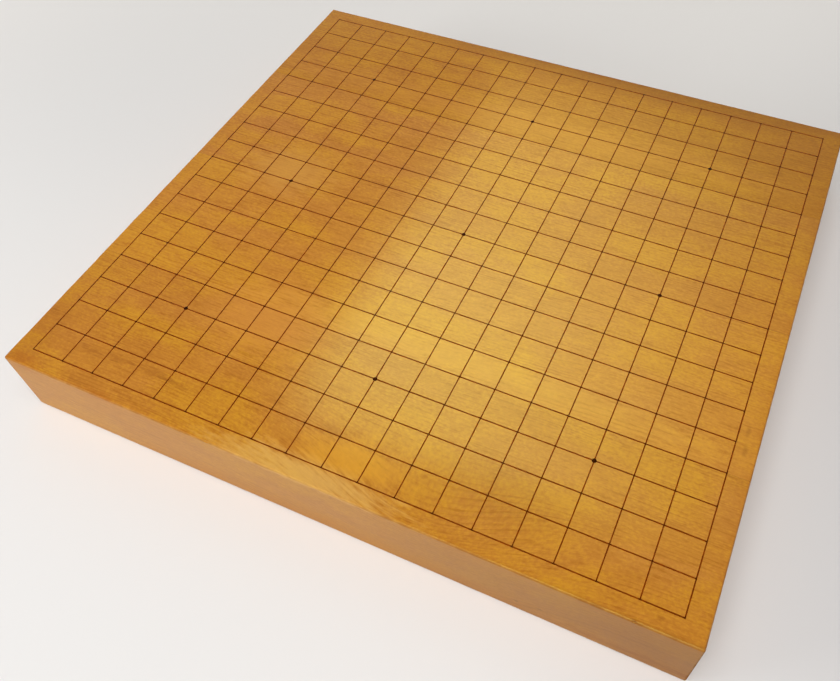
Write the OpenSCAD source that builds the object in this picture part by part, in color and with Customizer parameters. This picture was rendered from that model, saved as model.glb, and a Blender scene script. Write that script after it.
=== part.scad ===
// Table go board: four edge-glued wood staves under a grid of raised lacquer lines.
// X runs along the long side, Y from the front edge to the back edge, and Z up.
// The origin is the centre of the underside. All sizes are in millimetres.

/* [Grid] */
// Lines each way
line_count = 19; // [13:6:19]
// Distance between neighbouring column lines, along the long side
column_pitch = 23.7; // [20:0.1:26]
// Distance between neighbouring row lines, along the short side
row_pitch = 22; // [19:0.1:25]
// Outer star points lie on this line, counted from the border line as the first
star_line = 4; // [3:1:5]

/* [Slab] */
// Wood outside the grid at the left and right ends
end_margin = 13.7; // [8:0.1:30]
// Wood outside the grid at the front and back
front_margin = 12.5; // [8:0.1:30]
// Thickness of the board
thickness = 55; // [15:1:80]
// Radius of the sanded outer edges
arris_r = 1.2; // [0.4:0.1:4]

/* [Staves] */
// Cells across each of the two middle staves, so that the joints lie under lines
middle_stave_cells = 5; // [2:1:5]
// Thickness of the glue film in each joint
glue_t = 0.12; // [0.06:0.02:0.4]

/* [Lacquer] */
// Width of a lacquer line
line_w = 0.8; // [0.6:0.05:1.6]
// Height of the lines along the long side, which are laid first
row_h = 0.14; // [0.08:0.02:0.2]
// Height of the lines along the short side, which lap over the others
column_h = 0.24; // [0.22:0.02:0.4]
// Diameter of a star point
star_d = 3.2; // [2.4:0.1:6]
// Height of a star point
star_h = 0.38; // [0.34:0.02:0.6]

/* [Hidden] */
// Fineness of the arcs, which are shallow caps of large circles
$fn = 192;
// Overshoot of cutting shapes past the faces that they cut
cut = 1;

length = (line_count - 1) * column_pitch + 2 * end_margin;
depth = (line_count - 1) * row_pitch + 2 * front_margin;
last_line = line_count - 1;
centre_line = last_line / 2;
line_numbers = [0 : last_line];

// Places of the lines, counted from the left and from the front
function column_x(i) = (i - centre_line) * column_pitch;
function row_y(k) = (k - centre_line) * row_pitch;

// Lines are drawn out to the outer edge of the border lines
grid_length = last_line * column_pitch + line_w;
grid_depth = last_line * row_pitch + line_w;

// Joints lie under the centre line and under one line on each side of it
joint_y = [for (side = [-1 : 1]) side * middle_stave_cells * row_pitch];
stave_names = ["front_stave", "front_middle_stave", "back_middle_stave", "back_stave"];
glue_names = ["front_glue_line", "middle_glue_line", "back_glue_line"];
// Front and back faces of each stave: the outer ones run past the board's edge and are trimmed
stave_front = concat([-depth / 2 - cut], [for (y = joint_y) y + glue_t / 2]);
stave_back = concat([for (y = joint_y) y - glue_t / 2], [depth / 2 + cut]);

star_lines = [star_line - 1, centre_line, last_line - star_line + 1];
star_places = [for (k = star_lines) for (i = star_lines) [i, k]];

function two_digits(n) = n < 10 ? str("0", n) : str(n);
function row_name(k) = str("row_line_", two_digits(k + 1));
function column_name(i) = str("column_line_", two_digits(i + 1));
function star_name(s) = str("star_point_", s + 1);

wood_tones = ["#c08a3e", "#cf9a4c", "#c69244", "#b9853a"];
lacquer_tone = "#3a1d0c";
glue_tone = "#8a5a28";

// Rectangle with round corners, centred
module round_rectangle(size, r) {
    square([size.x - 2 * r, size.y], center = true);
    square([size.x, size.y - 2 * r], center = true);
    for (sx = [-1, 1], sy = [-1, 1])
        translate([sx * (size.x / 2 - r), sy * (size.y / 2 - r)]) circle(r);
}

// The slab that the staves are planed and sanded to: every outer edge is eased
module sanded_slab() {
    translate([0, 0, thickness / 2])
        intersection() {
            rotate([90, 0, 90])
                linear_extrude(length, center = true) round_rectangle([depth, thickness], arris_r);
            rotate([90, 0, 0])
                linear_extrude(depth + 2 * cut, center = true) round_rectangle([length, thickness], arris_r);
            linear_extrude(thickness + 2 * cut, center = true) round_rectangle([length, depth], arris_r);
        }
}

// What lies between two planes across the depth of the slab
module slab_slice(front, back) {
    intersection() {
        sanded_slab();
        translate([-length / 2 - cut, front, -cut])
            cube([length + 2 * cut, back - front, thickness + 2 * cut]);
    }
}

module stave(s) {
    color(wood_tones[s]) slab_slice(stave_front[s], stave_back[s]);
}

module glue_line(s) {
    color(glue_tone) slab_slice(joint_y[s] - glue_t / 2, joint_y[s] + glue_t / 2);
}

// Cross-section of a bead of lacquer: the cap of a circle, standing on the X axis
module bead_section(w, h) {
    bead_r = (w * w / 4 + h * h) / (2 * h);
    intersection() {
        translate([0, h - bead_r]) circle(bead_r);
        translate([-w, 0]) square([2 * w, 2 * h]);
    }
}

// Bead along X over the whole grid
module row_bead(k) {
    translate([0, row_y(k), thickness])
        rotate([90, 0, 90]) linear_extrude(grid_length, center = true) bead_section(line_w, row_h);
}

// Bead along Y over the whole grid
module column_bead(i) {
    translate([column_x(i), 0, thickness])
        rotate([90, 0, 0]) linear_extrude(grid_depth, center = true) bead_section(line_w, column_h);
}

module row_line(k) {
    color(lacquer_tone) row_bead(k);
}

// A later line lies over every earlier one that it crosses
module column_line(i) {
    color(lacquer_tone)
        difference() {
            column_bead(i);
            for (k = line_numbers) row_bead(k);
        }
}

// A drop of lacquer over the crossing of two lines
module star_point(i, k) {
    color(lacquer_tone)
        difference() {
            translate([column_x(i), row_y(k), thickness])
                rotate_extrude()
                    intersection() {
                        bead_section(star_d, star_h);
                        square([star_d, star_h]);
                    }
            row_bead(k);
            column_bead(i);
        }
}

for (s = [0 : len(stave_names) - 1])
    stave(s);
for (s = [0 : len(glue_names) - 1])
    glue_line(s);
for (k = line_numbers)
    row_line(k);
for (i = line_numbers)
    column_line(i);
for (s = [0 : len(star_places) - 1])
    star_point(star_places[s].x, star_places[s].y);
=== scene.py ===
"""Looks of a thick table go board: four edge-glued staves under a hand-laid lacquer grid.

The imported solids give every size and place. The staves are modelled again here with worn arrises and
dents, and the lacquer lines and star points as unsteady beads and drops. The glue films keep their
solids and get a finish. All sizes are in metres, in the frame of the solids: X along the front edge, Y to
the back, Z up.
"""

import logging
import math
from dataclasses import dataclass, field
from enum import Enum
from functools import cached_property
from typing import Callable, Iterable, NamedTuple, Optional, Sequence, Union

import bpy
from mathutils import Euler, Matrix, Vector


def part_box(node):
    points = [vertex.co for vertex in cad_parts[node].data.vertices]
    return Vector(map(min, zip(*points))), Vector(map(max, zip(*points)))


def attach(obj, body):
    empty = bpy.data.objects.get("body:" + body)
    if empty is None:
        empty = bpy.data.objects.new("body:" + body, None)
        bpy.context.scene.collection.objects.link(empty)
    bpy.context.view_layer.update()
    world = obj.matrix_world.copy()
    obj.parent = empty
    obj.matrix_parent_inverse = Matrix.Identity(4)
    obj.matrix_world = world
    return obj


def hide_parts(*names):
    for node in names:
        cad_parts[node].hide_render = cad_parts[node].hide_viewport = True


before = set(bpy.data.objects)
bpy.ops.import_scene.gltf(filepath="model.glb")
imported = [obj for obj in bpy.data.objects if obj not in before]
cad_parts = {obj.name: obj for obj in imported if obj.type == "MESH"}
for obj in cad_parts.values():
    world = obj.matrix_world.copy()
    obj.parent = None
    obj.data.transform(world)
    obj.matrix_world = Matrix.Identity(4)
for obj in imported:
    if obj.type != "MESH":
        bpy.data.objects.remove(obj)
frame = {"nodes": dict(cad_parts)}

LOG = logging.getLogger("go_board")
MM = 0.001
BODY = "root"
FULL_LEVEL = 255
MID_NOISE = 0.5

Colour = tuple[float, float, float, float]
Triple = tuple[float, float, float]
Socket = bpy.types.NodeSocket
Piece = bpy.types.Object
Feed = Union[Socket, float, Sequence[float]]
Pulls = tuple[tuple[str, float], ...]


class Slot(Enum):
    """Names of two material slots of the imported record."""

    WOOD = "stave_wood"
    LACQUER = "lacquer"


class Axis(Enum):
    """Directions of the board's frame, as indices into a vector."""

    ALONG = 0
    ACROSS = 1
    UP = 2


class SocketKind(Enum):
    """Kinds of socket on a shader node group."""

    VALUE = "NodeSocketFloat"
    VECTOR = "NodeSocketVector"


def tone(red: int, green: int, blue: int) -> Colour:
    """Gives a shader colour for the 8-bit values that a screen shows.

    Args:
        red: Red from 0 to 255.
        green: Green from 0 to 255.
        blue: Blue from 0 to 255.

    Returns:
        The colour in linear light, with full opacity.
    """
    toe, toe_slope, lift, power = 0.04045, 12.92, 0.055, 2.4
    linear = []
    for level in (red, green, blue):
        share = level / FULL_LEVEL
        if share <= toe:
            linear.append(share / toe_slope)
        else:
            linear.append(((share + lift) / (1 + lift)) ** power)
    return (*linear, 1.0)


class Ramp(NamedTuple):
    """A smooth rise or fall: start up to low, and end from high on."""

    low: float
    high: float
    start: float = 0.0
    end: float = 1.0


class Noise(NamedTuple):
    """A noise: features per metre along X, Y and Z, octaves, and the weight of the finer octaves."""

    stretch: Triple
    detail: float = 2.0
    rough: float = 0.5


class Graph:
    """Short calls for the shader nodes that the finishes use."""

    def __init__(self, tree: bpy.types.NodeTree) -> None:
        """Starts work on a node tree.

        Args:
            tree: Tree of a material, a world, a lamp or a node group.
        """
        self.tree = tree

    def add(self, kind: str, **settings: object) -> bpy.types.Node:
        """Adds one node.

        Args:
            kind: Node type, without its ShaderNode prefix.
            settings: Attributes to set on the node.

        Returns:
            The new node.
        """
        prefix = "" if kind.startswith("NodeGroup") else "ShaderNode"
        node = self.tree.nodes.new(prefix + kind)
        for name, value in settings.items():
            setattr(node, name, value)
        return node

    def feed(self, socket: Socket, value: Feed) -> None:
        """Links a socket to another one, or sets its own value."""
        if isinstance(value, bpy.types.NodeSocket):
            self.tree.links.new(value, socket)
        elif socket.type == "VECTOR" and isinstance(value, float):
            socket.default_value = (value,) * 3
        else:
            socket.default_value = value

    def fill(self, kind: str, values: Sequence[Feed], **settings: object) -> bpy.types.Node:
        """Adds one node and feeds its inputs in order.

        Args:
            kind: Node type, without its ShaderNode prefix.
            values: Sockets or numbers for the inputs.
            settings: Attributes to set on the node.

        Returns:
            The new node.
        """
        node = self.add(kind, **settings)
        for socket, value in zip(node.inputs, values):
            self.feed(socket, value)
        return node

    def math(self, operation: str, *values: Feed, clamp: bool = False) -> Socket:
        """Adds a Math node.

        Args:
            operation: Name of the operation, such as MULTIPLY.
            values: Sockets or numbers for its inputs, in order.
            clamp: Whether the result is held between 0 and 1.

        Returns:
            The result.
        """
        return self.fill("Math", values, operation=operation, use_clamp=clamp).outputs[0]

    def vector(self, operation: str, *values: Feed) -> Socket:
        """Adds a Vector Math node.

        Args:
            operation: Name of the operation, such as ADD.
            values: Sockets or vectors for its inputs, in order.

        Returns:
            The result, a number for LENGTH and DOT_PRODUCT.
        """
        node = self.fill("VectorMath", values, operation=operation)
        scalar = operation in ("LENGTH", "DOT_PRODUCT")
        return node.outputs["Value" if scalar else "Vector"]

    def split(self, vector: Socket) -> tuple[Socket, Socket, Socket]:
        """Gives a vector's X, Y and Z."""
        return tuple(self.fill("SeparateXYZ", (vector,)).outputs)

    def join(self, along: Feed, across: Feed, up: Feed) -> Socket:
        """Gives the vector that has these X, Y and Z."""
        return self.fill("CombineXYZ", (along, across, up)).outputs[0]

    def noise(self, place: Feed, noise: Noise, seed: Feed = 0.0) -> bpy.types.Node:
        """Adds a noise texture.

        Args:
            place: Point on the piece.
            noise: Sizes of its features.
            seed: Shift that sets this noise apart from its neighbours.

        Returns:
            The noise node, with a value and a colour output.
        """
        scaled = self.vector("MULTIPLY", place, noise.stretch)
        node = self.add("TexNoise", noise_dimensions="3D")
        self.feed(node.inputs["Vector"], self.vector("ADD", scaled, seed))
        node.inputs["Scale"].default_value = 1.0
        node.inputs["Detail"].default_value = noise.detail
        node.inputs["Roughness"].default_value = noise.rough
        return node

    def ease(self, value: Feed, low: Feed, high: Feed, start: float = 0.0, end: float = 1.0) -> Socket:
        """Turns a range of values smoothly into another one.

        Args:
            value: Number to turn.
            low: Value that gives start.
            high: Value that gives end.
            start: Result at low and below.
            end: Result at high and above.

        Returns:
            The eased number.
        """
        node = self.add("MapRange", interpolation_type="SMOOTHSTEP")
        for name, part in zip(("Value", "From Min", "From Max", "To Min", "To Max"),
                              (value, low, high, start, end)):
            self.feed(node.inputs[name], part)
        return node.outputs["Result"]

    def mix(self, share: Feed, first: Feed, second: Feed, mode: str = "MIX") -> Socket:
        """Mixes two colours.

        Args:
            share: Weight of the second colour, from 0 to 1.
            first: Colour underneath.
            second: Colour on top.
            mode: Blend mode, such as MULTIPLY.

        Returns:
            The mixed colour.
        """
        node = self.add("Mix", data_type="RGBA", blend_type=mode, clamp_factor=True)
        colours = [socket for socket in node.inputs if socket.type == "RGBA"]
        self.feed(node.inputs["Factor"], share)
        self.feed(colours[0], first)
        self.feed(colours[1], second)
        return next(socket for socket in node.outputs if socket.type == "RGBA")

    def sway(self, value: Socket, noises: dict[str, Socket], pulls: Pulls) -> Socket:
        """Moves a value up and down with some noises.

        Args:
            value: Number to move.
            noises: Noises by name.
            pulls: Name of each noise that counts, and its weight.

        Returns:
            The moved number.
        """
        for name, pull in pulls:
            centred = self.math("SUBTRACT", noises[name], MID_NOISE)
            value = self.math("MULTIPLY_ADD", centred, pull, value)
        return value

    def bump(self, height: Socket, unit: float = 1.0) -> Socket:
        """Gives the normal of a surface with this height, counted in units of a length."""
        node = self.add("Bump")
        node.inputs["Strength"].default_value = 1.0
        node.inputs["Distance"].default_value = unit
        self.feed(node.inputs["Height"], height)
        return node.outputs["Normal"]

    def effect(self, group: bpy.types.ShaderNodeTree, **inputs: Feed) -> dict[str, Socket]:
        """Places a node group.

        Args:
            group: Group to place.
            inputs: Its inputs by name, with _ for a space.

        Returns:
            Its outputs by name.
        """
        node = self.add("Group", node_tree=group)
        for name, value in inputs.items():
            self.feed(node.inputs[name.replace("_", " ")], value)
        return {socket.name: socket for socket in node.outputs}


class EffectDraft:
    """A shader node group while it is being built."""

    def __init__(self, name: str, vectors: Sequence[str], values: Sequence[str],
                 outputs: Sequence[str]) -> None:
        """Makes the group and its sockets.

        Args:
            name: Name of the group.
            vectors: Names of the inputs that take a vector.
            values: Names of the inputs that take a number.
            outputs: Names of the outputs, which all give a number.
        """
        self.tree = bpy.data.node_groups.new(name, "ShaderNodeTree")
        sockets = [(label, "INPUT", SocketKind.VECTOR) for label in vectors]
        sockets += [(label, "INPUT", SocketKind.VALUE) for label in values]
        sockets += [(label, "OUTPUT", SocketKind.VALUE) for label in outputs]
        for label, direction, kind in sockets:
            self.tree.interface.new_socket(name=label, in_out=direction, socket_type=kind.value)
        self.graph = Graph(self.tree)
        self.inputs = self.graph.add("NodeGroupInput").outputs
        self.exits = self.graph.add("NodeGroupOutput").inputs

    def give(self, name: str, value: Socket) -> None:
        """Sends a value out of the group."""
        self.graph.feed(self.exits[name], value)


class Effects:
    """Shader node groups that several finishes share, each built once."""

    drift: Noise = Noise((3.4, 9.0, 9.0))
    good_years: Noise = Noise((0.3, 1.0, 1.0), 1.0)
    year_swing: float = 3.0
    growing: Ramp = Ramp(0.42, 0.9)
    stopping: Ramp = Ramp(0.9, 1.0, 1.0, 0.0)
    vigour: Ramp = Ramp(0.0, 1.0, 0.35, 1.0)
    breaks: Noise = Noise((16.0, 70.0, 70.0))
    unbroken: Ramp = Ramp(0.4, 0.62, 0.15, 1.0)
    grain: tuple[tuple[str, Noise], ...] = (
        ("Fibre", Noise((120.0, 1400.0, 1400.0), 3.0, 0.6)),
        ("Streak", Noise((75.0, 560.0, 560.0), 2.0, 0.55)),
        ("Speckle", Noise((430.0, 680.0, 680.0), 2.0, 0.55)),
        ("Mottle", Noise((60.0, 100.0, 100.0), 3.0, 0.55)),
    )
    bloom: Noise = Noise((13.0, 30.0, 30.0))
    wave: Noise = Noise((9.0, 15.0, 15.0), 1.0)
    rub_patches: Noise = Noise((130.0, 130.0, 130.0), 3.0)
    rub_width: Ramp = Ramp(0.3, 0.7, 0.25, 1.6)
    grime_patches: Noise = Noise((34.0, 34.0, 34.0), 4.0, 0.6)
    grime_seed: float = 4.0
    grime_cover: Ramp = Ramp(0.35, 0.68)
    patch_edge: Ramp = Ramp(0.15, 1.0, 1.0, 0.0)
    film_patches: Noise = Noise((1.0, 1.0, 1.0), 3.0)
    film_grain: Noise = Noise((1.0, 1.0, 1.0))
    film_seed: float = 7.0
    thin_film: Ramp = Ramp(0.42, 0.72)

    @cached_property
    def wood_figure(self) -> bpy.types.ShaderNodeTree:
        """Growth rings round a pith that runs along X, with the fibres and colour drift of one stave."""
        draft = EffectDraft(
            "wood_figure",
            vectors=("Place", "Pith", "Flame Place", "Flame Reach"),
            values=("Ring Width", "Wander", "Seed", "Flame Dip"),
            outputs=("Rings", "Whole Rings", "Fibre", "Streak", "Speckle", "Mottle", "Bloom", "Blush",
                     "Flame", "Wave"))
        graph, given = draft.graph, draft.inputs
        place, seed = given["Place"], given["Seed"]

        drift = graph.noise(place, self.drift, seed).outputs["Color"]
        centred = graph.vector("SUBTRACT", drift, (MID_NOISE,) * 3)
        wander = graph.vector("MULTIPLY", centred, graph.join(0.0, given["Wander"], given["Wander"]))

        offset = graph.vector("SUBTRACT", place, given["Flame Place"])
        reached = graph.vector("DIVIDE", offset, given["Flame Reach"])
        fall = graph.math("MULTIPLY", graph.vector("DOT_PRODUCT", reached, reached), -1.0)
        flame = graph.math("EXPONENT", fall)
        lift = graph.math("MULTIPLY", given["Flame Dip"], flame)
        led = graph.vector("ADD", graph.vector("ADD", place, wander), graph.join(0.0, lift, 0.0))

        spoke = graph.vector("MULTIPLY", graph.vector("SUBTRACT", led, given["Pith"]), (0.0, 1.0, 1.0))
        years = graph.math("DIVIDE", graph.vector("LENGTH", spoke), given["Ring Width"])
        good_years = graph.noise(graph.join(years, 0.0, 0.0), self.good_years, seed).outputs[0]
        years = graph.math("MULTIPLY_ADD", good_years, self.year_swing, years)
        season = graph.math("FRACT", years)
        grown = graph.ease(season, *self.growing)
        stopped = graph.ease(season, *self.stopping)
        year = graph.add("TexWhiteNoise", noise_dimensions="1D")
        graph.feed(year.inputs["W"], graph.math("FLOOR", years))
        vigour = graph.ease(year.outputs["Value"], *self.vigour)
        ring = graph.math("MULTIPLY", graph.math("MULTIPLY", grown, stopped), vigour)
        breaks = graph.noise(led, self.breaks, seed).outputs[0]

        draft.give("Whole Rings", ring)
        draft.give("Rings", graph.math("MULTIPLY", ring, graph.ease(breaks, *self.unbroken)))
        for name, noise in self.grain:
            draft.give(name, graph.noise(led, noise, seed).outputs[0])
        hues = graph.split(graph.noise(led, self.bloom, seed).outputs["Color"])
        draft.give("Bloom", hues[0])
        draft.give("Blush", hues[1])
        draft.give("Flame", flame)
        draft.give("Wave", graph.noise(place, self.wave, seed).outputs[0])
        return draft.tree

    @cached_property
    def arris_wear(self) -> bpy.types.ShaderNodeTree:
        """Rubbed finish on the arrises of the board, where painted shade also dulls their highlight, and
        handling grime beside them.
        """
        draft = EffectDraft(
            "arris_wear",
            vectors=("Place", "Middle", "Half Size"),
            values=("Rub Reach", "Grime Reach"),
            outputs=("Rub", "Grime"))
        graph, given = draft.graph, draft.inputs
        offset = graph.vector("ABSOLUTE", graph.vector("SUBTRACT", given["Place"], given["Middle"]))
        depth = graph.split(graph.vector("SUBTRACT", given["Half Size"], offset))
        nearer = graph.math("MINIMUM", depth[0], depth[1])
        farther = graph.math("MAXIMUM", depth[0], depth[1])
        to_arris = graph.math("MAXIMUM", nearer, graph.math("MINIMUM", farther, depth[2]))

        patchy = graph.noise(given["Place"], self.rub_patches).outputs[0]
        rub_edge = graph.math("MULTIPLY", given["Rub Reach"], graph.ease(patchy, *self.rub_width))
        draft.give("Rub", graph.ease(to_arris, 0.0, rub_edge, 1.0, 0.0))
        cloudy = graph.noise(given["Place"], self.grime_patches, self.grime_seed).outputs[0]
        near = graph.ease(to_arris, 0.0, given["Grime Reach"], 1.0, 0.0)
        draft.give("Grime", graph.math("MULTIPLY", near, graph.ease(cloudy, *self.grime_cover)))
        return draft.tree

    @cached_property
    def stain_and_painted_light_patch(self) -> bpy.types.ShaderNodeTree:
        """A soft ragged patch round one point, for stains, pits and smears, and for patches of painted shade
        and painted sheen.
        """
        draft = EffectDraft(
            "stain_and_painted_light_patch",
            vectors=("Place", "Centre", "Reach"),
            values=("Ragged", "Grain"),
            outputs=("Mask",))
        graph, given = draft.graph, draft.inputs
        offset = graph.vector("SUBTRACT", given["Place"], given["Centre"])
        reached = graph.vector("DIVIDE", offset, given["Reach"])
        away = graph.vector("LENGTH", reached)
        torn = graph.math("MULTIPLY", graph.math("SUBTRACT", given["Grain"], MID_NOISE), given["Ragged"])
        draft.give("Mask", graph.ease(graph.math("ADD", away, torn), *self.patch_edge))
        return draft.tree

    @cached_property
    def film_mottle(self) -> bpy.types.ShaderNodeTree:
        """Thick and thin places in a brushed film, for lacquer and glue."""
        draft = EffectDraft(
            "film_mottle", vectors=("Place",), values=("Patch", "Grain"), outputs=("Thin", "Speckle"))
        graph, given = draft.graph, draft.inputs
        coarse = graph.vector("MULTIPLY", given["Place"], graph.join(*[given["Patch"]] * 3))
        fine = graph.vector("MULTIPLY", given["Place"], graph.join(*[given["Grain"]] * 3))
        patches = graph.noise(coarse, self.film_patches).outputs[0]
        draft.give("Thin", graph.ease(patches, *self.thin_film))
        draft.give("Speckle", graph.noise(fine, self.film_grain, self.film_seed).outputs[0])
        return draft.tree


def shader_material(name: str) -> tuple[bpy.types.Material, Graph, bpy.types.Node, Socket]:
    """Starts a procedural material.

    Args:
        name: Name of the material.

    Returns:
        The material, its graph, its Principled shader and the piece's Object coordinates.
    """
    material = bpy.data.materials.new(name)
    material.use_nodes = True
    graph = Graph(material.node_tree)
    shader = material.node_tree.nodes["Principled BSDF"]
    place = graph.add("TexCoord").outputs["Object"]
    return material, graph, shader, place


def dress(piece: Piece, material: bpy.types.Material) -> None:
    """Gives a piece one material in place of those it has."""
    piece.data.materials.clear()
    piece.data.materials.append(material)


@dataclass(frozen=True)
class BoardFrame:
    """Sizes and places of the board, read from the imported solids."""

    low: Vector
    high: Vector

    @classmethod
    def read(cls) -> "BoardFrame":
        """Reads the wood's lowest and highest corners from the staves."""
        corners = [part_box(stave.value) for stave in StaveName]
        low = Vector(min(pair[0][axis.value] for pair in corners) for axis in Axis)
        high = Vector(max(pair[1][axis.value] for pair in corners) for axis in Axis)
        return cls(low, high)

    @property
    def middle(self) -> Vector:
        """Centre of the wood."""
        return (self.low + self.high) / 2

    @property
    def half_size(self) -> Vector:
        """Half of the wood's length, depth and thickness."""
        return (self.high - self.low) / 2

    def to_arris(self, point: Vector) -> float:
        """Gives how far a point on the surface lies from the nearest arris."""
        depths = sorted(half - abs(gap) for half, gap in zip(self.half_size, point - self.middle))
        return depths[1]

    def on_top(self, along: float, across: float) -> Triple:
        """Gives the point of the playing surface at X and Y in millimetres."""
        return (along * MM, across * MM, self.high.z)

    def on_front(self, along: float, drop: float) -> Triple:
        """Gives the point of the front face at X and a drop from the top, in millimetres."""
        return (along * MM, self.low.y, self.high.z - drop * MM)


class StaveName(Enum):
    """The four staves, from the front of the board to the back."""

    FRONT = "front_stave"
    FRONT_MIDDLE = "front_middle_stave"
    BACK_MIDDLE = "back_middle_stave"
    BACK = "back_stave"


class Blend(Enum):
    """Ways that a mark lies on the wood."""

    MULTIPLY_TINT = "MULTIPLY"
    MIX_TINT = "MIX"


@dataclass(frozen=True)
class Mark:
    """A stain, smear, pit or pale band on the wood, or a patch of painted shade or painted sheen."""

    centre: Triple
    reach_mm: Triple
    tint: Colour
    strength: float
    ragged: float = 3.0
    blend: Blend = Blend.MULTIPLY_TINT


@dataclass(frozen=True)
class Flame:
    """A place where the grain dips towards the front and the wood turns golden."""

    centre: Triple = (0.0, 0.0, 0.0)
    reach_mm: Triple = (60.0, 25.0, 40.0)
    dip_mm: float = 0.0
    gold: float = 0.0


@dataclass(frozen=True)
class WoodFinish:
    """Oiled, hand-planed softwood of one stave."""

    name: str
    pith: Triple
    seed: float
    ring_width: float = 2.3 * MM
    wander: float = 22 * MM
    pale: Colour = tone(202, 129, 42)
    deep: Colour = tone(172, 98, 22)
    golden: Colour = tone(210, 144, 34)
    golden_deep: Colour = tone(186, 113, 18)
    rosy: Colour = tone(200, 126, 54)
    end_tint: Colour = tone(228, 212, 200)
    side_tone: Colour = tone(182, 137, 82)
    grime: Colour = tone(212, 172, 116)
    # Tone over the worn arrises: partly dirt, partly painted shade over the highlight they catch.
    rub_dirt_and_shade_tone: Colour = tone(222, 206, 186)
    flame: Flame = Flame()
    marks: tuple[Mark, ...] = ()
    tint: Colour = tone(255, 255, 255)
    roughness: float = 0.16
    side_roughness: float = 0.46
    side_share: float = 0.4
    gloss_tint: Colour = tone(240, 255, 142)
    rub_reach: float = 1.3 * MM
    grime_reach: float = 13 * MM
    grime_share: float = 0.13
    rub_dirt_and_shade_share: float = 0.8
    end_facing: Ramp = Ramp(0.6, 0.95)
    flat_facing: Ramp = Ramp(0.75, 0.98)
    streak_tear: float = 0.7
    mottle_tear: float = 0.3
    ripening: Ramp = Ramp(0.41, 0.64, 0.0, 0.78)
    gold_pulls: Pulls = (("Speckle", -1.7), ("Mottle", -0.8))
    flushing: Ramp = Ramp(0.44, 0.68, 0.0, 0.6)
    base_depth: float = 0.34
    ring_pull: float = 0.46
    end_ring_pull: float = 0.3
    flame_ring_pull: float = 0.3
    depth_pulls: Pulls = (("Fibre", 0.65), ("Streak", 0.65), ("Speckle", 0.9), ("Mottle", 0.7))
    flecking: Ramp = Ramp(0.58, 0.72, 0.0, 0.25)
    dull_pulls: Pulls = (("Fibre", 0.06),)
    rub_dulling: float = 0.4
    wave_height: float = 0.11 * MM
    fibre_height: float = 0.004 * MM
    ring_height: float = -0.005 * MM

    def material(self, effects: Effects, board: BoardFrame) -> bpy.types.Material:
        """Makes the finish's material.

        Args:
            effects: Shared node groups.
            board: Sizes of the board.

        Returns:
            The material for this stave.
        """
        material, graph, shader, place = shader_material(self.name)
        figure = graph.effect(
            effects.wood_figure, Place=place, Pith=self.pith, Ring_Width=self.ring_width,
            Wander=self.wander, Seed=self.seed, Flame_Place=self.flame.centre,
            Flame_Reach=[reach * MM for reach in self.flame.reach_mm], Flame_Dip=self.flame.dip_mm * MM)
        arris_masks = graph.effect(
            effects.arris_wear, Place=place, Middle=board.middle, Half_Size=board.half_size,
            Rub_Reach=self.rub_reach, Grime_Reach=self.grime_reach)
        facing = graph.split(graph.vector("ABSOLUTE", graph.add("NewGeometry").outputs["Normal"]))
        end = graph.ease(facing[Axis.ALONG.value], *self.end_facing)
        flat = graph.ease(facing[Axis.UP.value], *self.flat_facing)

        colour = self._grain_colour(graph, figure, end)
        sawn = graph.ease(flat, 0.0, 1.0, self.side_share, 0.0)
        colour = graph.mix(sawn, colour, self.side_tone, Blend.MIX_TINT.value)
        grimy = graph.math("MULTIPLY", arris_masks["Grime"], self.grime_share)
        colour = graph.mix(grimy, colour, self.grime, Blend.MULTIPLY_TINT.value)
        # Darkens the worn arrises: partly dirt, partly painted shade over the highlight they catch.
        rub_dirt_and_shade = graph.math("MULTIPLY", arris_masks["Rub"], self.rub_dirt_and_shade_share)
        colour = graph.mix(rub_dirt_and_shade, colour, self.rub_dirt_and_shade_tone, Blend.MULTIPLY_TINT.value)
        streaky = graph.math("MULTIPLY", figure["Streak"], self.streak_tear)
        ragged_grain = graph.math("MULTIPLY_ADD", figure["Mottle"], self.mottle_tear, streaky)
        for mark in self.marks:
            mask = graph.effect(
                effects.stain_and_painted_light_patch, Place=place, Centre=mark.centre,
                Reach=[reach * MM for reach in mark.reach_mm], Ragged=mark.ragged,
                Grain=ragged_grain)["Mask"]
            share = graph.math("MULTIPLY", mask, mark.strength)
            colour = graph.mix(share, colour, mark.tint, mark.blend.value)

        graph.feed(shader.inputs["Base Color"], colour)
        graph.feed(shader.inputs["Roughness"], self._dullness(graph, figure, arris_masks["Rub"], flat))
        graph.feed(shader.inputs["Normal"], self._relief(graph, figure))
        shader.inputs["Specular Tint"].default_value = self.gloss_tint
        return material

    def _grain_colour(self, graph: Graph, figure: dict[str, Socket], end: Socket) -> Socket:
        """Colours the grain, from pale early wood to deep late wood, in golden and rosy drifts.

        Args:
            graph: Graph of the material.
            figure: Outputs of the wood figure.
            end: Mask of the end grain.

        Returns:
            The colour of the bare wood.
        """
        ripe = graph.ease(figure["Bloom"], *self.ripening)
        gold = graph.math("MULTIPLY_ADD", figure["Flame"], self.flame.gold, ripe)
        gold = graph.sway(gold, figure, self.gold_pulls)
        flush = graph.ease(figure["Blush"], *self.flushing)
        pale = graph.mix(gold, graph.mix(flush, self.pale, self.rosy), self.golden)
        deep = graph.mix(gold, self.deep, self.golden_deep)
        colour = graph.mix(self._grain_depth(graph, figure, end), pale, deep)
        colour = graph.mix(1.0, colour, self.tint, Blend.MULTIPLY_TINT.value)
        return graph.mix(end, colour, self.end_tint, Blend.MULTIPLY_TINT.value)

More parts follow.
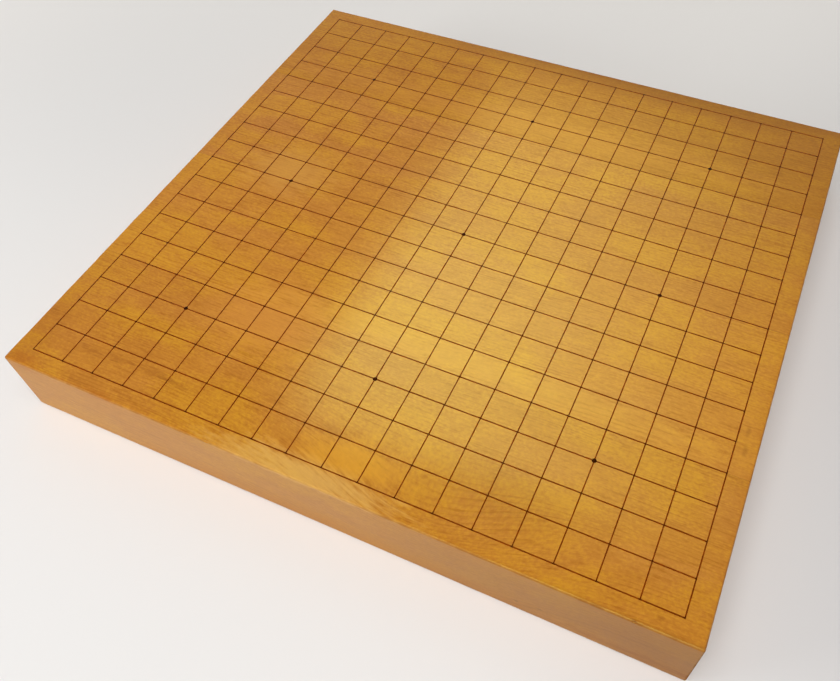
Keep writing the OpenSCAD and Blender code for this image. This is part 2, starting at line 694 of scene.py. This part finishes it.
    def _grain_depth(self, graph: Graph, figure: dict[str, Socket], end: Socket) -> Socket:
        """Weighs rings, fibres and drift into one value from pale to deep.

        Args:
            graph: Graph of the material.
            figure: Outputs of the wood figure.
            end: Mask of the end grain.

        Returns:
            0 for pale wood and 1 for deep wood.
        """
        ring_pull = graph.math("MULTIPLY_ADD", end, self.end_ring_pull, self.ring_pull)
        flame_pull = self.flame_ring_pull * self.flame.gold
        ring_pull = graph.math("MULTIPLY_ADD", figure["Flame"], flame_pull, ring_pull)
        mended = graph.math("SUBTRACT", figure["Whole Rings"], figure["Rings"])
        rings = graph.math("MULTIPLY_ADD", end, mended, figure["Rings"])
        depth = graph.math("MULTIPLY_ADD", rings, ring_pull, self.base_depth)
        depth = graph.sway(depth, figure, self.depth_pulls)
        flecks = graph.ease(figure["Streak"], *self.flecking)
        return graph.math("ADD", depth, flecks, clamp=True)

    def _dullness(self, graph: Graph, figure: dict[str, Socket], rub: Socket, flat: Socket) -> Socket:
        """Gives the roughness of the oiled wood, duller on the worn arrises and on the sawn sides.

        Args:
            graph: Graph of the material.
            figure: Outputs of the wood figure.
            rub: Mask of the worn arrises.
            flat: Mask of the planed top and underside.

        Returns:
            The roughness.
        """
        planed = graph.ease(flat, 0.0, 1.0, self.side_roughness, self.roughness)
        dull = graph.sway(planed, figure, self.dull_pulls)
        return graph.math("MULTIPLY_ADD", rub, self.rub_dulling, dull, clamp=True)

    def _relief(self, graph: Graph, figure: dict[str, Socket]) -> Socket:
        """Gives the normal of the planed wood, with its slow waves, open fibres and soft early wood."""
        height = graph.math("MULTIPLY", figure["Wave"], self.wave_height)
        height = graph.math("MULTIPLY_ADD", figure["Fibre"], self.fibre_height, height)
        height = graph.math("MULTIPLY_ADD", figure["Rings"], self.ring_height, height)
        return graph.bump(height)


@dataclass(frozen=True)
class Pooling:
    """Thicker and darker lacquer where two lines of the grid cross."""

    column_pitch: float
    row_pitch: float
    pooled: Colour = tone(50, 14, 1)
    share: float = 0.62
    core: float = 0.5 * MM
    reach: float = 1.6 * MM

    def darken(self, graph: Graph, place: Socket, colour: Socket) -> Socket:
        """Darkens a line's colour round each crossing.

        Args:
            graph: Graph of the material.
            place: Point on the piece, where the middle lines cross at the origin.
            colour: Colour of the line.

        Returns:
            The colour with its dark crossings.
        """
        along, across, _ = graph.split(place)
        to_column = graph.math("PINGPONG", along, self.column_pitch / 2)
        to_row = graph.math("PINGPONG", across, self.row_pitch / 2)
        away = graph.math("MAXIMUM", to_column, to_row)
        share = graph.ease(away, self.core, self.reach, self.share, 0.0)
        return graph.mix(share, colour, self.pooled)


@dataclass(frozen=True)
class FilmFinish:
    """A brushed or squeezed film: the lacquer of the grid, or the glue of the joints."""

    name: str
    thick: Colour
    thin: Colour
    thin_share: float
    roughness: float
    patch: float
    grain: float
    gloss: float = 0.2
    gloss_tint: Colour = tone(255, 178, 30)
    dull_swing: float = 0.2
    speckle_height: float = 0.01 * MM

    def material(self, effects: Effects, pooling: Optional[Pooling] = None) -> bpy.types.Material:
        """Makes the finish's material.

        Args:
            effects: Shared node groups.
            pooling: Dark crossings, for the lines of the grid.

        Returns:
            The material for the film.
        """
        material, graph, shader, place = shader_material(self.name)
        film = graph.effect(effects.film_mottle, Place=place, Patch=self.patch, Grain=self.grain)
        share = graph.math("MULTIPLY", film["Thin"], self.thin_share)
        colour = graph.mix(share, self.thick, self.thin)
        if pooling:
            colour = pooling.darken(graph, place, colour)
        graph.feed(shader.inputs["Base Color"], colour)
        least = self.roughness - self.dull_swing / 2
        dull = graph.math("MULTIPLY_ADD", film["Speckle"], self.dull_swing, least)
        graph.feed(shader.inputs["Roughness"], dull)
        graph.feed(shader.inputs["Normal"], graph.bump(film["Speckle"], self.speckle_height))
        shader.inputs["Specular IOR Level"].default_value = self.gloss
        shader.inputs["Specular Tint"].default_value = self.gloss_tint
        return material


class Bench:
    """Operators for modelling one piece by hand."""

    @staticmethod
    def clear() -> None:
        """Leaves nothing selected."""
        bpy.ops.object.select_all(action="DESELECT")

    @classmethod
    def hold(cls, piece: Piece) -> None:
        """Selects one piece alone and makes it the active object."""
        cls.clear()
        piece.select_set(True)
        bpy.context.view_layer.objects.active = piece

    @staticmethod
    def settle() -> Piece:
        """Moves the active object's place, turn and size into its mesh, and gives the object."""
        bpy.ops.object.transform_apply(location=True, rotation=True, scale=True)
        return bpy.context.active_object

    @classmethod
    def cube(cls, name: str, low: Vector, high: Vector) -> Piece:
        """Adds a block between two corners, with its place in its mesh.

        Args:
            name: Name of the piece.
            low: Lowest corner.
            high: Highest corner.

        Returns:
            The block.
        """
        cls.clear()
        bpy.ops.mesh.primitive_cube_add(size=1.0, location=(low + high) / 2, scale=high - low)
        piece = cls.settle()
        piece.name = piece.data.name = name
        return piece

    @staticmethod
    def select_edges(piece: Piece, wanted: Callable[[Vector, Vector], bool]) -> None:
        """Selects edges by the places of their ends, and leaves edit mode on.

        Args:
            piece: Piece to work on, which is the active object.
            wanted: Test of an edge's two ends.
        """
        bpy.ops.object.mode_set(mode="EDIT")
        bpy.ops.mesh.select_mode(type="EDGE")
        bpy.ops.mesh.select_all(action="DESELECT")
        bpy.ops.object.mode_set(mode="OBJECT")
        points = piece.data.vertices
        for edge in piece.data.edges:
            first, second = (points[index].co for index in edge.vertices)
            edge.select = wanted(first, second)
        bpy.ops.object.mode_set(mode="EDIT")

    @classmethod
    def cut_along(cls, piece: Piece, axis: Axis, spacing: float) -> None:
        """Divides the long edges that run along one axis.

        Args:
            piece: Piece to work on, which is the active object.
            axis: Direction of the edges.
            spacing: Distance between the new cuts.
        """
        reach = max(vertex.co[axis.value] for vertex in piece.data.vertices)
        reach -= min(vertex.co[axis.value] for vertex in piece.data.vertices)
        straight, shortest = 0.999, 2 * spacing

        def runs_along(first: Vector, second: Vector) -> bool:
            """Tells whether an edge is long and runs along the axis."""
            run = second - first
            return run.length > shortest and abs(run[axis.value]) > straight * run.length

        cls.select_edges(piece, runs_along)
        bpy.ops.mesh.subdivide(number_cuts=round(reach / spacing) - 1)
        bpy.ops.object.mode_set(mode="OBJECT")

    @staticmethod
    def apply(piece: Piece, modifier: bpy.types.Modifier) -> None:
        """Applies a modifier to its piece."""
        bpy.context.view_layer.objects.active = piece
        bpy.ops.object.modifier_apply(modifier=modifier.name)

    @classmethod
    def smooth(cls, piece: Piece, angle: float) -> None:
        """Shades a piece smooth across edges flatter than an angle in degrees."""
        cls.hold(piece)
        bpy.ops.object.shade_smooth_by_angle(angle=math.radians(angle))

    @classmethod
    def level(cls, piece: Piece) -> None:
        """Keeps the shading of the flat faces level right up to the rounded edges."""
        weighted = piece.modifiers.new("level", "WEIGHTED_NORMAL")
        weighted.keep_sharp = True
        cls.apply(piece, weighted)

    @classmethod
    def roughen(cls, piece: Piece, length: float, strength: float, direction: str = "NORMAL",
                middle: float = MID_NOISE, group: str = "") -> None:
        """Pushes a piece's surface in and out by a soft noise.

        Args:
            piece: Piece to work on.
            length: Size of the noise's features.
            strength: Travel of the surface over the noise's whole range.
            direction: Axis of the push, or NORMAL for square to the surface.
            middle: Noise that leaves the surface in place.
            group: Vertex group that weighs the push, or nothing for the whole piece.
        """
        clouds = bpy.data.textures.new(piece.name + "_clouds", type="CLOUDS")
        clouds.noise_scale = length
        push = piece.modifiers.new("clouds", "DISPLACE")
        push.texture = clouds
        push.texture_coords = "LOCAL"
        push.direction = direction
        push.mid_level = middle
        push.vertex_group = group
        push.strength = strength
        cls.apply(piece, push)


@dataclass(frozen=True)
class Dent:
    """A small hollow knocked into an arris."""

    centre: Triple
    reach_mm: Triple


@dataclass
class Stave:
    """One stave of the slab, with sanded arrises that use has worn unevenly."""

    name: StaveName
    board: BoardFrame
    finish: WoodFinish
    dents: tuple[Dent, ...] = ()
    arris_radius: float = 1.2 * MM
    arris_segments: int = 4
    spacing: float = 3.4 * MM
    wear_depth: float = 0.6 * MM
    wear_length: float = 14 * MM
    wear_middle: float = 0.25
    dent_fineness: int = 3
    smooth_angle: float = 32.0
    piece: Piece = field(init=False, default=None)

    def build(self, effects: Effects) -> Piece:
        """Models and dresses the stave in place of its solid.

        Args:
            effects: Shared node groups.

        Returns:
            The finished stave.
        """
        low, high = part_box(self.name.value)
        self.piece = Bench.cube(self.name.value + "_planed", low, high)
        self._round_arrises(low, high)
        for axis in Axis:
            Bench.cut_along(self.piece, axis, self.spacing)
        self._wear_arrises()
        for dent in self.dents:
            self._knock(dent)
        Bench.smooth(self.piece, self.smooth_angle)
        Bench.level(self.piece)
        dress(self.piece, self.finish.material(effects, self.board))
        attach(self.piece, BODY)
        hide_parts(self.name.value)
        return self.piece

    def _is_outer(self, point: Vector, low: Vector, high: Vector) -> bool:
        """Tells whether each stave face that a point lies on is also a face of the board."""
        close = 1e-6
        for axis in Axis:
            index = axis.value
            for face, limit in ((low, self.board.low), (high, self.board.high)):
                on_face = abs(point[index] - face[index]) < close
                if on_face and abs(face[index] - limit[index]) > close:
                    return False
        return True

    def _round_arrises(self, low: Vector, high: Vector) -> None:
        """Rounds the edges that lie between two faces of the board."""
        Bench.select_edges(self.piece, lambda first, second: self._is_outer((first + second) / 2, low, high))
        bpy.ops.mesh.bevel(offset_type="OFFSET", offset=self.arris_radius, segments=self.arris_segments,
                           affect="EDGES")
        bpy.ops.object.mode_set(mode="OBJECT")

    def _wear_arrises(self) -> None:
        """Presses the arrises in by uneven amounts."""
        arris = self.piece.vertex_groups.new(name="arris")
        for vertex in self.piece.data.vertices:
            share = 1 - self.board.to_arris(vertex.co) / self.arris_radius
            if share > 0:
                arris.add([vertex.index], share, "REPLACE")
        Bench.roughen(
            self.piece, self.wear_length, -self.wear_depth, middle=self.wear_middle, group=arris.name)

    def _knock(self, dent: Dent) -> None:
        """Cuts one dent out of the stave."""
        Bench.clear()
        bpy.ops.mesh.primitive_ico_sphere_add(
            subdivisions=self.dent_fineness, radius=1.0, location=dent.centre,
            scale=[reach * MM for reach in dent.reach_mm])
        cutter = bpy.context.active_object
        hollow = self.piece.modifiers.new("dent", "BOOLEAN")
        hollow.operation = "DIFFERENCE"
        hollow.solver = "EXACT"
        hollow.object = cutter
        Bench.apply(self.piece, hollow)
        bpy.data.objects.remove(cutter)


@dataclass
class Slab:
    """The wood of the board: four staves, front to back."""

    board: BoardFrame

    def _painted_far_corner_shade(self) -> Mark:
        """Painted shade over the far right corner, where the light falls off, which two staves share."""
        return Mark(self.board.on_top(250, 200), (270, 240, 90), tone(214, 206, 180), 0.55, 0.4)

    def _pale_drift(self) -> Mark:
        """A paler drift over the middle joint towards the left, which two staves share."""
        return Mark(self.board.on_top(-148, 10), (54, 34, 30), tone(214, 152, 66), 0.5, 1.0, Blend.MIX_TINT)

    def _painted_sheen_patch(self) -> Mark:
        """Painted sheen: a paler patch over the front joint towards the left, where the sheen reaches
        further, which two staves share.
        """
        return Mark(self.board.on_top(-88, -120), (62, 42, 30), tone(214, 139, 58), 0.55, 1.0, Blend.MIX_TINT)

    def front_stave(self) -> Stave:
        """The front stave, with the flame and most of the marks."""
        board = self.board
        top, front = board.on_top, board.on_front
        umber, rust, soot = tone(186, 134, 80), tone(226, 166, 80), tone(150, 108, 76)
        straw, honey, shade = tone(222, 173, 94), tone(216, 147, 34), tone(174, 142, 96)
        bark, tan, amber = tone(241, 234, 188), tone(240, 228, 214), tone(255, 249, 160)
        copper = tone(235, 206, 108)
        marks = (
            Mark(top(-216, -207), (20, 8, 14), rust, 0.35),
            Mark(top(-152, -210), (14, 4, 4), rust, 0.3),
            Mark(top(-178, -184), (13, 3, 5), umber, 0.36, 7.0),
            Mark(top(-157, -182), (12, 3, 5), umber, 0.3, 7.0),
            Mark(top(-131, -182), (14, 3.4, 5), umber, 0.36, 7.0),
            Mark(top(-112, -184), (11, 3, 5), umber, 0.32, 7.0),
            Mark(top(-6, -206), (80, 15, 6), straw, 0.62, 1.6, Blend.MIX_TINT),
            Mark(top(10, -187), (50, 15, 6), honey, 0.62, 1.6, Blend.MIX_TINT),
            Mark(top(98, -170), (66, 24, 6), tan, 1.0, 1.6),
            # Painted sheen over the front joint.
            self._painted_sheen_patch(),
            Mark(top(-222, -184), (26, 56, 20), bark, 0.8, 1.5),
            Mark(top(202, -203), (3, 2.2, 5), umber, 0.4, 1.5),
            Mark(top(190.4, -209.6), (2.2, 1.8, 2), umber, 0.5, 0.8),
            Mark(top(185, -186), (9, 5, 5), umber, 0.16),
            Mark(top(-6, -174), (12, 5, 5), umber, 0.22),
            Mark(front(127, 43), (2.2, 2, 1.4), soot, 0.6, 1.0),
            Mark(front(141, 40), (2.6, 2, 1.2), soot, 0.45, 1.0),
            # Painted shade along the bottom of the front face next to the floor, here at its right end.
            Mark(front(196, 47), (60, 3, 7), copper, 0.6),
            # Painted shade over the front face, heavier towards its right end and lighter round X 85 mm.
            Mark(front(240, 26), (200, 4, 70), shade, 0.55, 0.6),
            Mark(front(85, 36), (70, 4, 50), shade, 0.16, 0.8),
            # Painted shade along the bottom of the front face next to the floor.
            Mark(front(40, 58), (300, 4, 24), rust, 0.22, 1.5),
            Mark(front(40, 54), (330, 4, 28), amber, 0.9, 1.0),
        )
        flame = Flame(top(64, -204), (74, 36, 50), 27, 0.25)
        finish = WoodFinish("front_stave_wood", (0.0, -0.33, -0.02), 3.1, 1.7 * MM, flame=flame, marks=marks,
                            tint=tone(251, 251, 251))
        dents = (
            Dent(top(-71.4, -210.5), (2.6, 1.0, 0.9)),
            Dent(top(190.4, -210.4), (1.7, 1.0, 0.9)),
        )
        return Stave(StaveName.FRONT, board, finish, dents)

    def front_middle_stave(self) -> Stave:
        """The stave behind the front joint, a shade paler along that joint."""
        board = self.board
        top = board.on_top
        umber, straw = tone(176, 134, 92), tone(220, 158, 50)
        marks = (
            Mark(top(40, -99), (240, 17, 30), straw, 0.34, 1.6, Blend.MIX_TINT),
            self._pale_drift(),
            # Painted sheen over the front joint.
            self._painted_sheen_patch(),
            Mark(top(218.4, -79), (2.2, 6, 4), umber, 0.4, 1.0),
            Mark(top(219.5, -92), (2.4, 6, 4), umber, 0.4, 1.0),
        )
        finish = WoodFinish("front_middle_stave_wood", (0.0, 0.24, 0.16), 11.7, marks=marks,
                            pale=tone(205, 132, 44), deep=tone(176, 102, 23))
        return Stave(StaveName.FRONT_MIDDLE, board, finish)

    def back_middle_stave(self) -> Stave:
        """The stave behind the middle joint."""
        board = self.board
        top = board.on_top
        umber, rust = tone(150, 104, 70), tone(214, 138, 74)
        marks = (
            # Painted shade over the far right corner.
            self._painted_far_corner_shade(),
            self._pale_drift(),
            Mark(top(219, -21), (9, 0.7, 2), umber, 0.8, 0.3),
            Mark(top(221.4, -29), (2.5, 2.5, 4), rust, 0.6, 0.8),
        )
        finish = WoodFinish("back_middle_stave_wood", (0.0, -0.21, 0.11), 23.3, marks=marks)
        return Stave(StaveName.BACK_MIDDLE, board, finish)

    def back_stave(self) -> Stave:
        """The back stave, with painted shade over all of it, heavier towards its right end."""
        board = self.board
        top = board.on_top
        marks = (
            # Painted shade over the far right corner.
            self._painted_far_corner_shade(),
            Mark(top(50, 213), (290, 29, 60), tone(222, 203, 130), 1.0, 1.0),
            Mark(top(-20, 128), (320, 24, 40), tone(212, 140, 50), 0.35, 1.0, Blend.MIX_TINT),
        )
        # Its tint is painted shade where the light falls off towards the back, with less blue.
        finish = WoodFinish("back_stave_wood", (0.0, 0.46, -0.06), 37.9, marks=marks,
                            tint=tone(246, 241, 190), gloss_tint=tone(240, 251, 122))
        return Stave(StaveName.BACK, board, finish)

    def build(self, effects: Effects) -> list[Piece]:
        """Builds the four staves.

        Args:
            effects: Shared node groups.

        Returns:
            The staves, front to back.
        """
        staves = (self.front_stave(), self.front_middle_stave(), self.back_middle_stave(), self.back_stave())
        return [stave.build(effects) for stave in staves]


@dataclass
class GlueWork:
    """Glue films in the joints between the staves, which keep their solids."""

    names: tuple[str, ...] = ("front_glue_line", "middle_glue_line", "back_glue_line")
    finish: FilmFinish = FilmFinish(
        "joint_glue", tone(112, 66, 20), tone(150, 96, 34), 0.6, 0.45, 120.0, 2400.0)

    def build(self, effects: Effects, nodes: dict[str, Piece]) -> list[Piece]:
        """Gives each film its finish.

        Args:
            effects: Shared node groups.
            nodes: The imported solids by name.

        Returns:
            The dressed films.
        """
        material = self.finish.material(effects)
        for name in self.names:
            dress(nodes[name], material)
        return [nodes[name] for name in self.names]


class Stray(Enum):
    """Directions that lacquer strays to: square to its line, or in and out of its surface."""

    SIDEWAYS = "side"
    OUTWARDS = "NORMAL"


@dataclass(frozen=True)
class Wobble:
    """An unsteady hand: how far lacquer strays along one direction, and over what length."""

    direction: Stray
    stray: float
    length: float


@dataclass
class LacquerGrid:
    """Lines and star points of lacquer, laid by hand over the wood."""

    line_count: int = 19
    star_count: int = 9
    row_share: float = 1.05
    column_share: float = 0.92
    star_share: float = 0.93
    bead_sides: int = 20
    bead_spacing: float = 4 * MM
    drop_segments: int = 28
    drop_rings: int = 14
    smooth_angle: float = 50.0
    line_finish: FilmFinish = FilmFinish(
        "line_lacquer", tone(113, 45, 2), tone(150, 66, 3), 0.6, 0.38, 240.0, 2600.0, 0.06)
    star_finish: FilmFinish = FilmFinish(
        "star_lacquer", tone(42, 12, 2), tone(66, 22, 3), 0.6, 0.34, 400.0, 2600.0, 0.08)
    line_wobbles: tuple[Wobble, ...] = (
        Wobble(Stray.SIDEWAYS, 0.16 * MM, 34 * MM), Wobble(Stray.OUTWARDS, 0.16 * MM, 5 * MM))
    star_wobbles: tuple[Wobble, ...] = (Wobble(Stray.OUTWARDS, 0.35 * MM, 2.4 * MM),)

    def build(self, effects: Effects) -> list[Piece]:
        """Lays the lines along the board, the lines across it and the star points.

        Args:
            effects: Shared node groups.

        Returns:
            The lacquer pieces.
        """
        numbers = range(1, self.line_count + 1)
        rows = [f"row_line_{number:02d}" for number in numbers]
        columns = [f"column_line_{number:02d}" for number in numbers]
        points = [f"star_point_{number}" for number in range(1, self.star_count + 1)]
        pooling = Pooling(self._pitch(columns, Axis.ALONG), self._pitch(rows, Axis.ACROSS))
        lines = self.line_finish.material(effects, pooling)
        stars = self.star_finish.material(effects)
        pieces = self._lay(rows, self._bead(rows[0], Axis.ALONG), lines, self.line_wobbles, "Y")
        pieces += self._lay(columns, self._bead(columns[0], Axis.ACROSS), lines, self.line_wobbles, "X")
        pieces += self._lay(points, self._drop(points[0]), stars, self.star_wobbles, "X")
        return pieces

    @staticmethod
    def _pitch(nodes: Sequence[str], axis: Axis) -> float:
        """Gives the distance between the first two lines of a set along an axis."""
        first, second = (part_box(node)[0][axis.value] for node in nodes[:2])
        return second - first

    def _bead(self, node: str, axis: Axis) -> Piece:
        """Models one bead: a flattened half round, cut into short lengths.

        Args:
            node: Solid that gives the bead's size and place.
            axis: Direction of the bead.

        Returns:
            The bead, over its solid.
        """
        low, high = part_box(node)
        middle, size = (low + high) / 2, high - low
        across = Axis.ACROSS if axis is Axis.ALONG else Axis.ALONG
        radius = size[across.value] / 2 * (self.row_share if axis is Axis.ALONG else self.column_share)
        turn = Euler((0.0, math.pi / 2, 0.0) if axis is Axis.ALONG else (math.pi / 2, 0.0, 0.0))
        Bench.clear()
        bpy.ops.mesh.primitive_cylinder_add(
            vertices=self.bead_sides, radius=radius, depth=size[axis.value],
            location=(middle.x, middle.y, low.z), rotation=turn)
        bead = Bench.settle()
        self._flatten(bead, low.z, size.z / radius)
        Bench.cut_along(bead, axis, self.bead_spacing)
        return bead

    def _drop(self, node: str) -> Piece:
        """Models one star point: a flattened half ball.

        Args:
            node: Solid that gives the drop's size and place.

        Returns:
            The drop, over its solid.
        """
        low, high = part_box(node)
        radius = (high.x - low.x) / 2 * self.star_share
        Bench.clear()
        bpy.ops.mesh.primitive_uv_sphere_add(
            segments=self.drop_segments, ring_count=self.drop_rings, radius=radius,
            location=((low.x + high.x) / 2, (low.y + high.y) / 2, low.z))
        drop = Bench.settle()
        self._flatten(drop, low.z, (high.z - low.z) / radius)
        return drop

    @staticmethod
    def _flatten(piece: Piece, ground: float, share: float) -> None:
        """Presses a round piece flatter and cuts it off level with the wood.

        Args:
            piece: Piece to press, which is the active object.
            ground: Height of the wood's surface.
            share: New height as a share of the old one.
        """
        bpy.ops.object.mode_set(mode="EDIT")
        bpy.ops.mesh.select_all(action="SELECT")
        bpy.ops.transform.resize(value=(1.0, 1.0, share), center_override=(0.0, 0.0, ground))
        bpy.ops.mesh.bisect(plane_co=(0.0, 0.0, ground), plane_no=(0.0, 0.0, 1.0), use_fill=True,
                            clear_inner=True)
        bpy.ops.object.mode_set(mode="OBJECT")

    def _lay(self, nodes: Sequence[str], model: Piece, material: bpy.types.Material,
             wobbles: Sequence[Wobble], side: str) -> list[Piece]:
        """Copies a model to the place of each solid, and lets each copy stray by itself.

        Args:
            nodes: Solids to stand for, the model's own first.
            model: Piece that is copied.
            material: Finish of the pieces.
            wobbles: How the pieces stray.
            side: Axis that a line strays to.

        Returns:
            The pieces, in the order of the solids.
        """
        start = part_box(nodes[0])[0]
        pieces = [model]
        for node in nodes[1:]:
            Bench.hold(model)
            bpy.ops.object.duplicate(linked=False)
            bpy.context.active_object.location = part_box(node)[0] - start
            pieces.append(Bench.settle())
        for node, piece in zip(nodes, pieces):
            piece.name = piece.data.name = node + "_laid"
            for wobble in wobbles:
                direction = side if wobble.direction is Stray.SIDEWAYS else wobble.direction.value
                Bench.roughen(piece, wobble.length, wobble.stray, direction)
            Bench.smooth(piece, self.smooth_angle)
            dress(piece, material)
            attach(piece, BODY)
            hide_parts(node)
        return pieces


@dataclass(frozen=True)
class Lamp:
    """A rectangular soft light."""

    name: str
    place: Triple
    aim: Triple
    size: tuple[float, float]
    radiance: float
    gloss_only: bool = False
    matte_only: bool = False
    fades: bool = False
    fade_across: Ramp = Ramp(0.25, 1.0, 1.0, 0.08)
    fade_beyond: Ramp = Ramp(0.28, 0.62, 1.0, 0.68)
    warm_beyond: Ramp = Ramp(0.24, 1.1)
    near_tone: Colour = tone(255, 255, 255)
    far_tone: Colour = tone(255, 224, 128)

    def light(self) -> None:
        """Hangs the lamp and turns it to its aim."""
        data = bpy.data.lights.new(self.name, "AREA")
        data.shape = "RECTANGLE"
        data.size, data.size_y = self.size
        data.energy = self.radiance * math.pi * self.size[0] * self.size[1]
        if self.fades:
            self._fade(data)
        lamp = bpy.data.objects.new(self.name, data)
        lamp.location = self.place
        lamp.visible_camera = False
        lamp.visible_diffuse = not self.gloss_only
        lamp.visible_glossy = not self.matte_only
        sight = Vector(self.aim) - Vector(self.place)
        lamp.rotation_euler = sight.to_track_quat("-Z", "Y").to_euler()
        bpy.context.scene.collection.objects.link(lamp)

    def _fade(self, data: bpy.types.AreaLight) -> None:
        """Dims the lamp towards its right end and its far side, which is also warmer."""
        data.use_nodes = True
        graph = Graph(data.node_tree)
        emission = data.node_tree.nodes["Emission"]
        spread = graph.split(graph.add("NewGeometry").outputs["Parametric"])
        across = graph.ease(spread[0], *self.fade_across)
        beyond = graph.ease(spread[1], *self.fade_beyond)
        graph.feed(emission.inputs["Strength"], graph.math("MULTIPLY", across, beyond))
        warm = graph.ease(spread[1], *self.warm_beyond)
        graph.feed(emission.inputs["Color"], graph.mix(warm, self.near_tone, self.far_tone))


@dataclass
class Studio:
    """Pale floor, soft lamps, pale surroundings and the camera."""

    floor_tone: Colour = tone(232, 231, 230)
    # Painted light towards the back of the floor and painted shade towards its right, over the floor's own
    # tone.
    painted_floor_light: Colour = tone(250, 248, 245)
    painted_floor_shade: Colour = tone(212, 209, 210)
    floor_radius: float = 6.0
    floor_gap: float = 0.2 * MM
    floor_sides: int = 96
    floor_roughness: float = 0.6
    painted_light_reach: Ramp = Ramp(0.0, 0.5)
    painted_shade_reach: Ramp = Ramp(0.1, 0.5)
    fade_reach: Ramp = Ramp(0.3, 1.0)
    ambient: float = 0.28
    surround: Colour = tone(240, 236, 231)
    camera_place: Triple = (0.1799, -0.3602, 0.4827)
    camera_turn: Triple = (37.396, 1.308, 23.96)
    lens_mm: float = 35.54
    sensor_mm: float = 36.0
    shift: tuple[float, float] = (-0.066, -0.0255)
    lamps: tuple[Lamp, ...] = (
        Lamp("low_window", (-1.02, -0.72, 0.36), (0.0, 0.0, 0.03), (0.78, 0.47), 5.9,
             matte_only=True),
        Lamp("overhead_panel", (0.2, -0.65, 1.45), (0.0, 0.0, 0.03), (1.12, 1.12), 4.6),
        Lamp("ceiling_gloss", (-0.158, 1.27, 1.555), (-0.158, 1.27, 0.0), (1.32, 1.56), 4.75,
             gloss_only=True, fades=True),
    )

    def build(self) -> None:
        """Sets up everything round the board."""
        self._lay_floor()
        for lamp in self.lamps:
            lamp.light()
        self._surround()
        self._camera()
        bpy.context.scene.view_settings.view_transform = "Standard"

    def _lay_floor(self) -> None:
        """Lays the pale floor under the board, with painted light towards the back and painted shade towards
        the right, which fades into the surroundings far away.
        """
        Bench.clear()
        bpy.ops.mesh.primitive_circle_add(
            vertices=self.floor_sides, radius=self.floor_radius, fill_type="NGON",
            location=(0.0, 0.0, -self.floor_gap))
        floor = bpy.context.active_object
        floor.name = "floor"
        material, graph, shader, place = shader_material("floor_paper")
        along, across, _ = graph.split(place)
        # Painted light towards the back and painted shade towards the right of the floor.
        colour = graph.mix(graph.ease(across, *self.painted_light_reach), self.floor_tone, self.painted_floor_light)
        colour = graph.mix(graph.ease(along, *self.painted_shade_reach), colour, self.painted_floor_shade)
        graph.feed(shader.inputs["Base Color"], colour)
        shader.inputs["Roughness"].default_value = self.floor_roughness
        away = graph.vector("LENGTH", graph.vector("MULTIPLY", place, (1.0, 1.0, 0.0)))
        far = graph.ease(away, *self.fade_reach)
        seen_far = graph.math("MULTIPLY", far, graph.add("LightPath").outputs["Is Camera Ray"])
        haze = graph.add("Emission")
        haze.inputs["Color"].default_value = self.surround
        blend = graph.fill("MixShader", (seen_far, shader.outputs[0], haze.outputs[0]))
        graph.feed(material.node_tree.nodes["Material Output"].inputs["Surface"], blend.outputs[0])
        dress(floor, material)

    def _surround(self) -> None:
        """Lights the board evenly, and shows a pale background to the camera and to gloss."""
        world = bpy.data.worlds.new("surround")
        bpy.context.scene.world = world
        world.use_nodes = True
        graph = Graph(world.node_tree)
        background = world.node_tree.nodes["Background"]
        background.inputs["Color"].default_value = self.surround
        rays = graph.add("LightPath").outputs
        seen = graph.math("ADD", rays["Is Camera Ray"], rays["Is Glossy Ray"], clamp=True)
        seen = graph.math("ADD", seen, rays["Is Transmission Ray"], clamp=True)
        graph.feed(background.inputs["Strength"], graph.ease(seen, 0.0, 1.0, self.ambient, 1.0))

    def _camera(self) -> None:
        """Sets the camera at the photograph's viewing angle."""
        data = bpy.data.cameras.new("camera")
        data.lens = self.lens_mm
        data.sensor_width = self.sensor_mm
        data.shift_x, data.shift_y = self.shift
        camera = bpy.data.objects.new("camera", data)
        camera.location = self.camera_place
        camera.rotation_euler = Euler([math.radians(turn) for turn in self.camera_turn], "XYZ")
        bpy.context.scene.collection.objects.link(camera)
        bpy.context.scene.camera = camera


def report(pieces: Iterable[Piece]) -> None:
    """Logs each piece with its face count."""
    for piece in pieces:
        LOG.info("%s: %d faces", piece.name, len(piece.data.polygons))


def main() -> None:
    """Builds the studio and the board, piece by piece."""
    logging.basicConfig(level=logging.INFO, format="%(message)s")
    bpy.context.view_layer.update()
    effects = Effects()
    board = BoardFrame.read()
    Studio().build()
    report(Slab(board).build(effects))
    report(GlueWork().build(effects, frame["nodes"]))
    report(LacquerGrid().build(effects))


if __name__ == "__main__":
    main()
